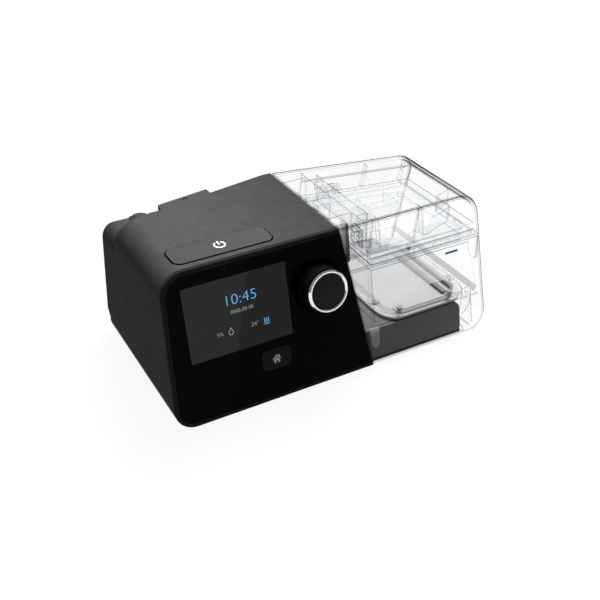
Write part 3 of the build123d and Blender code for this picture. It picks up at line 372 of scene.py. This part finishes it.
def board(name):
    m, nt, b, tc = new_mat(name)
    w = nt.nodes.new("ShaderNodeTexBrick")
    w.inputs["Scale"].default_value = 240.0
    w.inputs["Color1"].default_value = (0.012, 0.085, 0.045, 1)
    w.inputs["Color2"].default_value = (0.018, 0.105, 0.055, 1)
    w.inputs["Mortar"].default_value = (0.03, 0.15, 0.08, 1)
    w.inputs["Mortar Size"].default_value = 0.03
    nt.links.new(tc.outputs["Object"], w.inputs["Vector"])
    nt.links.new(w.outputs["Color"], b.inputs["Base Color"])
    nt.links.new(remap(nt, noise(nt, tc, 200.0), 0.32, 0.5), b.inputs["Roughness"])
    bump(nt, b, w.outputs["Fac"], 0.2, 0.00003)
    return m


def glow(name, col, strength, base=(0.003, 0.003, 0.004), flecks=0.06, painted_reflection_fade=None):
    m, nt, b, tc = new_mat(name)
    c = mix_col(nt, remap(nt, noise(nt, tc, 160.0, 2.0), 0, 1), tuple(x * (1 - flecks) for x in col), col)
    # painted reflection: glow darker to the right of a slanted line across the display
    if painted_reflection_fade:
        pos = nt.nodes.new("ShaderNodeSeparateXYZ")
        nt.links.new(tc.outputs["Object"], pos.inputs[0])
        x = nt.nodes.new("ShaderNodeMix")
        x.data_type = "RGBA"
        painted_reflection_line = math_node(nt, "MULTIPLY_ADD", pos.outputs["Z"], -0.271, pos.outputs["X"])
        nt.links.new(remap(nt, painted_reflection_line, 0.0, 1.0, painted_reflection_fade[0], painted_reflection_fade[1]), x.inputs[0])
        nt.links.new(c, x.inputs[6])
        x.inputs[7].default_value = (*painted_reflection_fade[2], 1)
        c = x.outputs[2]
    nt.links.new(c, b.inputs["Emission Color"])
    b.inputs["Emission Strength"].default_value = strength
    b.inputs["Base Color"].default_value = (*base, 1)
    nt.links.new(remap(nt, noise(nt, tc, 70.0, 3.0), 0.06, 0.1), b.inputs["Roughness"])
    b.inputs["Specular IOR Level"].default_value = 0.10
    return m


M = {}
# casing_top and casing_dark carry painted shade from casing_painted_shade
M["casing_top"] = plastic("casing_top", (0.0385, 0.039, 0.0385), 0.46, spec=0.003, grain_h=0.00002, var=0.05, painted_shade=casing_painted_shade)
M["casing_dark"] = plastic("casing_dark", (0.034, 0.0345, 0.034), 0.46, spec=0.003, grain_h=0.00002, var=0.05, painted_shade=casing_painted_shade)
M["heater_dark"] = plastic("heater_dark", (0.056, 0.056, 0.0565), 0.40, spec=0.14, grain_h=0.00001, var=0.05)
M["bezel"] = plastic("bezel", (0.0145, 0.0148, 0.0148), 0.36, spec=0.004, grain_h=0.00001, var=0.04)
# button_grey with painted shade in the gap
M["button_grey"] = plastic("button_grey", (0.0425, 0.0425, 0.0425), 0.44, spec=0.01, grain_h=0.00002, var=0.04, painted_shade=button_gap_painted_shade)
M["home_grey"] = plastic("home_grey", (0.0048, 0.0050, 0.0051), 0.34, spec=0.05, strength=0.1, grain_h=0.00001, var=0.04)
M["knob_dark"] = plastic("knob_dark", (0.0160, 0.0163, 0.0165), 0.34, spec=0.05, strength=0.1, grain_h=0.00001, var=0.05)
M["knob_side"] = plastic("knob_side", (0.0045, 0.0046, 0.0050), 0.38, spec=0.03, strength=0.1, grain_h=0.00001, var=0.05)
M["gloss_black"] = gloss_black("gloss_black")
M["well_black"] = gloss_black("well_black", (0.0006, 0.0006, 0.0007), 0.25, 0.01)
M["chrome"] = metal("chrome", (0.86, 0.87, 0.89), 0.07, gscale=300, strength=0.02)
# clear_shell with painted shade bands along its outline
M["clear"] = clear("clear_shell", outline=(0.26, 0.27, 0.28))
# greyer clears for the rounded edges of clear parts: painted shade
M["clear_edge_painted_shade"] = clear("clear_edge_painted_shade", tint=(0.58, 0.59, 0.60), grazing=(0.42, 0.43, 0.44), gloss=0.10)
M["inner_edge_painted_shade"] = clear("inner_edge_painted_shade", tint=(0.62, 0.63, 0.64), grazing=(0.46, 0.47, 0.48), gloss=0.10)
M["channel_edge_painted_shade"] = clear("channel_edge_painted_shade", tint=(0.34, 0.345, 0.35), grazing=(0.46, 0.47, 0.48), gloss=0.10)
M["milky_edge_painted_shade"] = clear("milky_edge_painted_shade", tint=(0.80, 0.81, 0.82), grazing=(0.62, 0.63, 0.64), gloss=0.1)
# clear_lid with painted shade on its long rounded edge and along its outline
M["clear_lid"] = clear("clear_lid", corner=(0.10, 0.105, 0.11), outline=(0.26, 0.27, 0.28))
M["clear_pin"] = clear("clear_pin", tint=(0.95, 0.952, 0.955), grazing=(0.6, 0.61, 0.62))
M["clear_inner"] = clear("clear_inner", haze=0.02)
M["milky"] = clear("milky_tray", tint=(0.985, 0.987, 0.988), haze=0.10, haze_col=(0.80, 0.81, 0.82))
M["gasket_grey"] = clear("gasket_grey", tint=(0.64, 0.65, 0.66), haze=0.80, haze_col=(0.20, 0.204, 0.208), grazing=(0.4, 0.41, 0.42))
M["floor_frame"] = clear("floor_frame", tint=(0.97, 0.972, 0.974), haze=0.32, haze_col=(0.50, 0.505, 0.51), grazing=(0.4, 0.41, 0.42))
M["frosted"] = clear("frosted_leg", haze=0.45, haze_col=(0.50, 0.51, 0.52))
M["gasket"] = clear("gasket_silicone", tint=(0.95, 0.955, 0.96), haze=0.22, haze_col=(0.66, 0.67, 0.68))
M["seal_clear"] = clear("seal_silicone", tint=(0.93, 0.94, 0.945), haze=0.55, haze_col=(0.70, 0.71, 0.72))
M["silicone"] = plastic("silicone_clear", (0.62, 0.64, 0.65), 0.42, spec=0.35, grain=800, var=0.05, wear=0.0, strength=0.2)
M["silicone_grey"] = plastic("silicone_grey", (0.26, 0.265, 0.27), 0.55, spec=0.05, grain=900, var=0.08, wear=0.0)
M["seal_black"] = shaded("seal_lip", (0.045, 0.047, 0.050), (0.16, 0.163, 0.166), 0.080, 0.102, 0.45)
M["rubber"] = plastic("rubber_black", (0.016, 0.016, 0.017), 0.62, spec=0.3, grain=700, grain_h=0.00006, wear=0.0)
M["steel"] = metal("steel_plate", (0.30, 0.30, 0.305), 0.38, (1, 22, 1), 500.0, 0.12, metallic=0.35)
M["screw"] = metal("screw_steel", (0.52, 0.53, 0.55), 0.30, gscale=1500, strength=0.15)
M["screw_frame"] = metal("screw_frame", (0.20, 0.20, 0.205), 0.38, gscale=1500, strength=0.15, metallic=0.3)
M["alu"] = metal("heater_aluminium", (0.66, 0.67, 0.68), 0.42, gscale=1800, strength=0.25)
M["spring"] = metal("spring_steel", (0.55, 0.55, 0.53), 0.35, (12, 1, 1), 600.0, 0.1)
M["board"] = board("solder_mask")
M["inner_white"] = plastic("inner_white", (0.62, 0.62, 0.60), 0.45, var=0.06, wear=0.0, grain=1500)
M["inner_grey"] = plastic("inner_grey", (0.11, 0.115, 0.12), 0.45, var=0.10, wear=0.1, grain=1500)
M["filter"] = plastic("filter_fibre", (0.72, 0.72, 0.70), 0.9, spec=0.1, grain=1800, grain_h=0.0003, var=0.08, wear=0.0, strength=0.9)
M["foil"] = plastic("heater_foil", (0.36, 0.16, 0.035), 0.3, grain=500, var=0.15, wear=0.0)

assign = {
    "upper_housing": "casing_top", "lower_housing": "casing_dark", "rear_cover": "casing_dark", "front_bezel": "bezel",
    "front_glass": "gloss_black", "light_sensor": "home_grey", "lcd_module": "gloss_black", "knob_well": "well_black",
    "front_pcb": "board", "tact_switches": "inner_grey", "power_switch_board": "board", "encoder_body": "inner_grey",
    "pcb_screws": "screw", "blower_lower": "inner_white", "blower_upper": "inner_white", "blower_motor": "inner_grey",
    "blower_mounts": "silicone_grey", "blower_duct": "inner_white", "outlet_duct": "inner_white", "outlet_spigot": "inner_white",
    "port_seal": "seal_clear", "port_lip": "seal_black", "return_seal": "seal_clear", "main_pcb": "board", "power_inlet": "rubber",
    "card_socket": "inner_grey", "filter_frame": "inner_grey", "air_filter": "filter", "heater_base": "heater_dark",
    "heater_springs": "spring", "rubber_feet": "rubber", "housing_screws": "screw", "encoder_plunger": "inner_grey",
    "knob_skirt": "knob_side", "knob_ring": "chrome", "knob_cap": "knob_dark", "home_button": "home_grey",
    "power_button": "button_grey", "impeller": "inner_white", "rotor_shaft": "screw", "heater_plate": "alu",
    "heater_element": "foil", "filter_cover": "casing_dark", "outlet_collar": "casing_dark", "memory_card": "gloss_black",
    "tank_shell": "clear", "heat_plate": "steel", "plate_gasket": "gasket_grey", "tank_floor_frame": "floor_frame",
    "frame_screws": "screw_frame", "hinge_pins": "clear_pin", "lid_shell": "clear_lid", "lid_gasket": "gasket", "lid_tray": "milky",
    "tank_knuckles": "clear", "tank_leg": "frosted", "lid_channel": "clear_inner", "lid_ribs": "clear_inner", "lid_knuckles": "clear_lid",
}


# ------------------------------------------------- edges and smooth shading
def smooth_group(angle):
    ng = bpy.data.node_groups.new("smooth_by_angle", "GeometryNodeTree")
    ng.interface.new_socket("Geometry", in_out="INPUT", socket_type="NodeSocketGeometry")
    ng.interface.new_socket("Geometry", in_out="OUTPUT", socket_type="NodeSocketGeometry")
    gi = ng.nodes.new("NodeGroupInput")
    go = ng.nodes.new("NodeGroupOutput")
    a = ng.nodes.new("GeometryNodeSetShadeSmooth")
    a.domain = "FACE"
    b = ng.nodes.new("GeometryNodeSetShadeSmooth")
    b.domain = "EDGE"
    b.inputs["Shade Smooth"].default_value = False
    e = ng.nodes.new("GeometryNodeInputMeshEdgeAngle")
    c = ng.nodes.new("FunctionNodeCompare")
    c.data_type = "FLOAT"
    c.operation = "GREATER_THAN"
    c.inputs[1].default_value = math.radians(angle)
    ng.links.new(e.outputs["Unsigned Angle"], c.inputs[0])
    ng.links.new(c.outputs[0], b.inputs["Selection"])
    ng.links.new(gi.outputs[0], a.inputs[0])
    ng.links.new(a.outputs[0], b.inputs[0])
    ng.links.new(b.outputs[0], go.inputs[0])
    return ng


SMOOTH = smooth_group(32)


def rim_strips(o, limit=0.00075):
    """Gives the narrow curved strips of small rounded edges the rim material, a greyer clear that is painted shade on
    these edges.
    """
    me = o.data
    key = [tuple(round(c * 1e6) for c in v.co) for v in me.vertices]
    by_edge = {}
    for p in me.polygons:
        for i, j in p.edge_keys:
            by_edge.setdefault(frozenset((key[i], key[j])), []).append(p.index)
    for p in me.polygons:
        sides = [(i, j, (me.vertices[i].co - me.vertices[j].co).length) for i, j in p.edge_keys]
        longest = max(t[2] for t in sides)
        if longest <= 0 or 2 * p.area / longest > limit:
            continue
        for i, j, l in sides:
            near = [q for q in by_edge[frozenset((key[i], key[j]))] if q != p.index]
            if l > 0.5 * longest and any(math.radians(2) < p.normal.angle(me.polygons[q].normal, 0.0) < math.radians(38) for q in near):
                p.material_index = 1
                break


def finish_edges(o, width, segments=2, dissolve=True, edge_slot=-1):
    wd = o.modifiers.new("weld", "WELD")
    wd.merge_threshold = 0.00003 if edge_slot >= 0 else 0.000002
    if dissolve:
        d = o.modifiers.new("planar", "DECIMATE")
        d.decimate_type = "DISSOLVE"
        d.angle_limit = math.radians(0.6)
        d.delimit = {"MATERIAL"}
    if width:
        b = o.modifiers.new("edge", "BEVEL")
        b.width = width
        b.segments = segments
        b.limit_method = "ANGLE"
        b.angle_limit = math.radians(38)
        b.use_clamp_overlap = edge_slot < 0
        b.miter_outer = "MITER_ARC" if edge_slot < 0 else "MITER_SHARP"
        b.material = edge_slot
    g = o.modifiers.new("smooth", "NODES")
    g.node_group = SMOOTH
    w = o.modifiers.new("normals", "WEIGHTED_NORMAL")
    w.keep_sharp = True
    w.weight = 60


ROUND_SKIN = {"upper_housing", "lower_housing", "rear_cover"}
SEE_THROUGH = {"clear", "clear_lid", "clear_inner", "clear_pin", "milky", "gasket", "floor_frame"}
# rim materials: painted shade on the rounded edges of clear parts
RIM_PAINTED_SHADE = {"floor_frame": "inner_edge_painted_shade", "clear": "clear_edge_painted_shade", "clear_lid": "clear_edge_painted_shade", "clear_inner": "inner_edge_painted_shade", "milky": "milky_edge_painted_shade", "gasket": "milky_edge_painted_shade"}
BEVEL = {
    "lid_channel": 0.0003, "lid_ribs": 0.0004, "lid_knuckles": 0.0003, "tank_knuckles": 0.0003, "tank_leg": 0.0003, "port_lip": 0.0003,
    "front_bezel": 0.0002, "power_button": 0.0002,
    "home_button": 0.00015, "filter_cover": 0.0002, "heater_base": 0.0004, "tank_shell": 0.0006, "lid_shell": 0.0006,
    "lid_tray": 0.0003, "tank_floor_frame": 0.0003, "heat_plate": 0.0002, "knob_skirt": 0.0002,
    "port_seal": 0.0004, "return_seal": 0.0004, "rubber_feet": 0.0004, "lid_gasket": 0.0003, "heater_plate": 0.0003,
    "frame_screws": 0.0002, "outlet_collar": 0.0002,
}
for name, o in nodes.items():
    me = o.data
    mat = M[assign[name]]
    if len(me.materials):
        for i in range(len(me.materials)):
            me.materials[i] = mat
    else:
        me.materials.append(mat)
    if assign[name] in SEE_THROUGH:
        o.visible_shadow = False
    rim = "channel_edge_painted_shade" if name == "lid_channel" else RIM_PAINTED_SHADE.get(assign[name])
    if rim:
        me.materials.append(M[rim])
        if "knuckles" not in name:
            rim_strips(o)
    finish_edges(o, BEVEL.get(name, 0.0), 1 if rim else 2, dissolve=name not in ROUND_SKIN, edge_slot=1 if rim else -1)


# ----------------------------------------------------- printed and lit marks
def flat_piece(name, loops, place, o0, o1, mat, body, bevel=0.0):
    """Thin plate with straight sides from closed outlines (holes allowed), laid on a surface."""
    cu = bpy.data.curves.new(name, "CURVE")
    cu.dimensions = "2D"
    cu.fill_mode = "BOTH"
    for pts in loops:
        sp = cu.splines.new("POLY")
        sp.points.add(len(pts) - 1)
        for i, (x, y) in enumerate(pts):
            sp.points[i].co = (x, y, 0, 1)
        sp.use_cyclic_u = True
    cu.extrude = 0.5
    tmp = bpy.data.objects.new(name + "_tmp", cu)
    scene.collection.objects.link(tmp)
    return settle(name, tmp, place, o0, o1, mat, body)


def settle(name, tmp, place, o0, o1, mat, body):
    bpy.context.view_layer.update()
    dg = bpy.context.evaluated_depsgraph_get()
    me = bpy.data.meshes.new_from_object(tmp.evaluated_get(dg))
    bpy.data.objects.remove(tmp)
    bm = bmesh.new()
    bm.from_mesh(me)
    bmesh.ops.remove_doubles(bm, verts=bm.verts, dist=1e-6)
    bmesh.ops.recalc_face_normals(bm, faces=bm.faces)
    for v in bm.verts:
        v.co = place(v.co.x, v.co.y, o1 if v.co.z > 0 else o0)
    bmesh.ops.recalc_face_normals(bm, faces=bm.faces)
    bm.to_mesh(me)
    bm.free()
    me.name = name
    o = bpy.data.objects.new(name, me)
    scene.collection.objects.link(o)
    me.materials.clear()
    me.materials.append(mat)
    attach(o, body)
    return o


def text_piece(name, body_text, x, y, size, place, o0, o1, mat, body, align="CENTER", squeeze=1.0):
    cu = bpy.data.curves.new(name, "FONT")
    cu.body = body_text
    cu.size = size
    cu.align_x = align
    cu.align_y = "CENTER"
    cu.extrude = 0.5
    cu.offset = -0.014 * size
    tmp = bpy.data.objects.new(name + "_tmp", cu)
    scene.collection.objects.link(tmp)
    return settle(name, tmp, lambda a, b, o: place(x + a * squeeze, y + b, o), o0, o1, mat, body)


def ring_pts(cx, cy, r, a0=0.0, a1=360.0, n=48):
    return [(cx + r * math.cos(math.radians(a0 + (a1 - a0) * i / n)), cy + r * math.sin(math.radians(a0 + (a1 - a0) * i / n)))
            for i in range(n + (0 if a1 - a0 >= 359.9 else 1))]


def arc_band(cx, cy, r0, r1, a0, a1, n=40):
    return ring_pts(cx, cy, r1, a0, a1, n) + ring_pts(cx, cy, r0, a0, a1, n)[::-1]


def round_rect(x0, y0, x1, y1, r, n=8):
    pts = []
    for cx, cy, a in ((x1 - r, y0 + r, -90), (x1 - r, y1 - r, 0), (x0 + r, y1 - r, 90), (x0 + r, y0 + r, 180)):
        for i in range(n + 1):
            t = math.radians(a + 90 * i / n)
            pts.append((cx + r * math.cos(t), cy + r * math.sin(t)))
    return pts


WHITE_PRINT = plastic("print_white", (0.82, 0.83, 0.84), 0.5, var=0.03, wear=0.0, strength=0.1)
BLUE_PRINT = plastic("print_blue", (0.02, 0.10, 0.26), 0.45, var=0.06, wear=0.0, strength=0.1)
GREY_PRINT = plastic("print_grey", (0.30, 0.31, 0.32), 0.5, var=0.04, wear=0.0, strength=0.1)
# backlit display face, with a painted reflection edge: darker to the right
LIT_BACK = glow("display_lit", (0.0155, 0.0160, 0.0158), 1.0, base=(0.0012, 0.0012, 0.0013), painted_reflection_fade=(-0.0945, -0.0915, (0.0075, 0.0082, 0.0081)))
LIT_BLUE = glow("digits_blue", (0.12, 0.42, 0.80), 1.0)
LIT_GREY = glow("digits_grey", (0.35, 0.38, 0.42), 1.0)

pz = BODY_H + 0.55
PT = top(pz)
flat_piece("power_symbol_ring", [arc_band(57.1, 43.3, 3.25, 4.25, 122, 418)], PT, -0.01, 0.015, WHITE_PRINT, "power_button")
flat_piece("power_symbol_bar", [round_rect(56.55, 43.6, 57.65, 48.3, 0.5)], PT, -0.01, 0.015, WHITE_PRINT, "power_button")

hx, ht = 80.3, 31.3
flat_piece("home_symbol", [
    [(hx, ht + 3.3), (hx - 3.4, ht + 0.2), (hx - 2.7, ht - 0.4), (hx, ht + 2.0), (hx + 2.7, ht - 0.4), (hx + 3.4, ht + 0.2),
     (hx + 2.35, ht + 1.2), (hx + 2.35, ht + 2.9), (hx + 1.5, ht + 2.9), (hx + 1.5, ht + 1.95)],
], front, -0.02, 0.02, GREY_PRINT, "home_button")
flat_piece("home_symbol_walls", [
    [(hx - 2.2, ht - 0.7), (hx, ht + 1.2), (hx + 2.2, ht - 0.7), (hx + 2.2, ht - 3.0), (hx + 0.7, ht - 3.0), (hx + 0.7, ht - 1.2),
     (hx - 0.7, ht - 1.2), (hx - 0.7, ht - 3.0), (hx - 2.2, ht - 3.0)],
], front, -0.02, 0.02, GREY_PRINT, "home_button")

G0 = -0.35                          # glass face
lx0, lt0, lx1, lt1 = 18.3, 46.3, 95.1, 100.5
flat_piece("display_face", [round_rect(lx0, lt0, lx1, lt1, 0.8)], front, G0 - 0.02, G0 + 0.02, LIT_BACK, "casing")
text_piece("display_clock", "10:45", 59.2, 83.6, 10.8, front, G0, G0 + 0.035, LIT_BLUE, "casing", squeeze=1.06)
text_piece("display_date", "0000-00-00", 59.4, 75.1, 3.7, front, G0, G0 + 0.035, LIT_GREY, "casing")
text_piece("display_left_value", "5%", 41.3, 61.6, 4.0, front, G0, G0 + 0.035, LIT_GREY, "casing")
text_piece("display_right_value", "24°", 67.6, 62.0, 4.2, front, G0, G0 + 0.035, LIT_GREY, "casing")


def drop(cx, cy, s):
    pts = []
    for i in range(40):
        a = math.radians(-230 + 280 * i / 39)
        pts.append((cx + s * math.cos(a), cy + s * math.sin(a)))
    return [(cx, cy + s * 2.1)] + pts


flat_piece("display_drop", [drop(49.4, 61.0, 1.9), drop(49.4, 61.0, 1.45)], front, G0, G0 + 0.035, LIT_GREY, "casing")
coil = []
for k in range(3):
    coil.append(round_rect(74.6 + 1.5 * k, 60.6, 75.2 + 1.5 * k, 64.2, 0.28))
flat_piece("display_coil", coil, front, G0, G0 + 0.035, LIT_BLUE, "casing")
flat_piece("display_coil_base", [round_rect(74.2, 59.4, 78.6, 60.0, 0.28)], front, G0, G0 + 0.035, LIT_BLUE, "casing")

flat_piece("level_bar", [round_rect(228.4, 70.1, 240.4, 71.9, 0.8)], front, -0.02, 0.03, BLUE_PRINT, "water_tank")

# ---------------------------------------------------------------- stage
def floor_mat():
    m, nt, b, tc = new_mat("studio_floor")
    c = mix_col(nt, remap(nt, noise(nt, tc, 6.0, 2.0), 0, 1), (0.036, 0.036, 0.037), (0.038, 0.038, 0.038))
    nt.links.new(c, b.inputs["Base Color"])
    b.inputs["Emission Color"].default_value = (1, 1, 1, 1)
    b.inputs["Emission Strength"].default_value = 0.93
    b.inputs["Roughness"].default_value = 0.8
    b.inputs["Specular IOR Level"].default_value = 0.0
    return m


fm = bpy.data.meshes.new("studio_floor")
R = 6.0
fm.from_pydata([(-R, -R, 0), (R, -R, 0), (R, R, 0), (-R, R, 0)], [], [(0, 1, 2, 3)])
floor = bpy.data.objects.new("studio_floor", fm)
scene.collection.objects.link(floor)
fm.materials.append(floor_mat())

# ---------------------------------------------------------------- lights
world = bpy.data.worlds.new("studio")
scene.world = world
world.use_nodes = True
bg = world.node_tree.nodes["Background"]
bg.inputs["Color"].default_value = (1.0, 1.0, 1.0, 1)
bg.inputs["Strength"].default_value = 0.22


def area(name, loc, target, size, energy, size_y=None, col=(1, 1, 1)):
    d = bpy.data.lights.new(name, "AREA")
    d.shape = "RECTANGLE"
    d.size = size
    d.size_y = size_y or size
    d.energy = energy
    d.color = col
    o = bpy.data.objects.new(name, d)
    o.location = loc
    o.rotation_euler = (Vector(target) - Vector(loc)).to_track_quat("-Z", "Y").to_euler()
    scene.collection.objects.link(o)
    return o


key = area("key_top", (0.55, 0.75, 1.7), (0, 0, 0.05), 1.0, 131.0)
key.visible_glossy = False

# ---------------------------------------------------------------- camera
az, el, roll = math.radians(-29.21), math.radians(33.37), math.radians(0.15)
d = Vector((math.sin(az) * math.cos(el), -math.cos(az) * math.cos(el), math.sin(el)))
target = P(134.1, 70.0, 26.2)
fwd = -d
right = fwd.cross(Vector((0, 0, 1))).normalized()
up = right.cross(fwd)
r2 = right * math.cos(roll) + up * math.sin(roll)
u2 = -right * math.sin(roll) + up * math.cos(roll)
cam_d = bpy.data.cameras.new("camera")
cam = bpy.data.objects.new("camera", cam_d)
scene.collection.objects.link(cam)
cam_d.sensor_width = 36.0
cam_d.lens = 895.1 / 600 * 36.0
cam_d.clip_start, cam_d.clip_end = 0.01, 50
cam_d.dof.use_dof = False
rot = Matrix((r2, u2, -fwd)).transposed()
cam.matrix_world = Matrix.Translation(target + d * 0.6987) @ rot.to_4x4()
scene.camera = cam
scene.view_settings.view_transform = "Standard"
scene.cycles.max_bounces = 32
scene.cycles.transmission_bounces = 32
scene.cycles.transparent_max_bounces = 32
